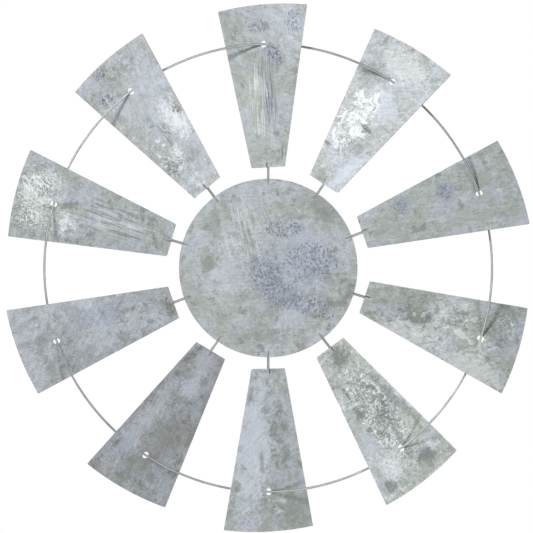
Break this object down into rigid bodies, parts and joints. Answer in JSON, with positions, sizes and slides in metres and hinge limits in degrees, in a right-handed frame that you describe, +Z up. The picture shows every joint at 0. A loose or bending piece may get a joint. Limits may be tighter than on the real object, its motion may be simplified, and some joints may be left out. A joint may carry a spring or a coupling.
{
  "type": "garden windmill",
  "caption": "Galvanised garden windmill wheel: pitched sheet vanes on wire spokes round a plain disc, tied by a wire rim, spinning on a wall-mounted axle.",
  "frame": {"origin": "on the spin axis, on the back face of the wall plate", "axes": "+Y points into the wall, so the wheel's front faces -Y; +Z is up and +X is to the right, seen from the front"},
  "size_m": [0.6033, 0.0773, 0.6081],
  "materials": {
    "galvanised_sheet": "galvanised sheet, satin and mottled, with white scuffs and blue-grey stains",
    "galvanised_wire": "drawn galvanised wire, satin",
    "zinc_hardware": "zinc-plated turned and cut steel, satin",
    "weld_metal": "steel weld bead, cleaned, slightly heat-stained",
    "bronze": "sintered bronze, oily satin",
    "nylon": "natural nylon, matt"
  },
  "bodies": {
    "wall_mount": {"wall_plate": "zinc_hardware", "axle": "zinc_hardware", "axle_weld": "weld_metal", "thrust_washer": "nylon"},
    "rotor": {"vane_01": "galvanised_sheet", "vane_02": "galvanised_sheet", "vane_03": "galvanised_sheet", "vane_04": "galvanised_sheet", "vane_05": "galvanised_sheet", "vane_06": "galvanised_sheet", "vane_07": "galvanised_sheet", "vane_08": "galvanised_sheet", "vane_09": "galvanised_sheet", "vane_10": "galvanised_sheet", "centre_disc": "galvanised_sheet", "spoke_01": "galvanised_wire", "spoke_02": "galvanised_wire", "spoke_03": "galvanised_wire", "spoke_04": "galvanised_wire", "spoke_05": "galvanised_wire", "spoke_06": "galvanised_wire", "spoke_07": "galvanised_wire", "spoke_08": "galvanised_wire", "spoke_09": "galvanised_wire", "spoke_10": "galvanised_wire", "rim_wire": "galvanised_wire", "root_welds": "weld_metal", "disc_welds": "weld_metal", "hub_welds": "weld_metal", "rim_weld": "weld_metal", "sleeve_weld": "weld_metal", "hub_plate": "zinc_hardware", "hub_sleeve": "zinc_hardware", "retaining_screw": "zinc_hardware", "front_bush": "bronze", "rear_bush": "bronze"}
  },
  "joints": [
    {"name": "rotor_spin", "type": "hinge", "parent": "wall_mount", "child": "rotor", "pos_m": [0, 0, 0], "axis": [0, 1, 0], "continuous": true}
  ]
}
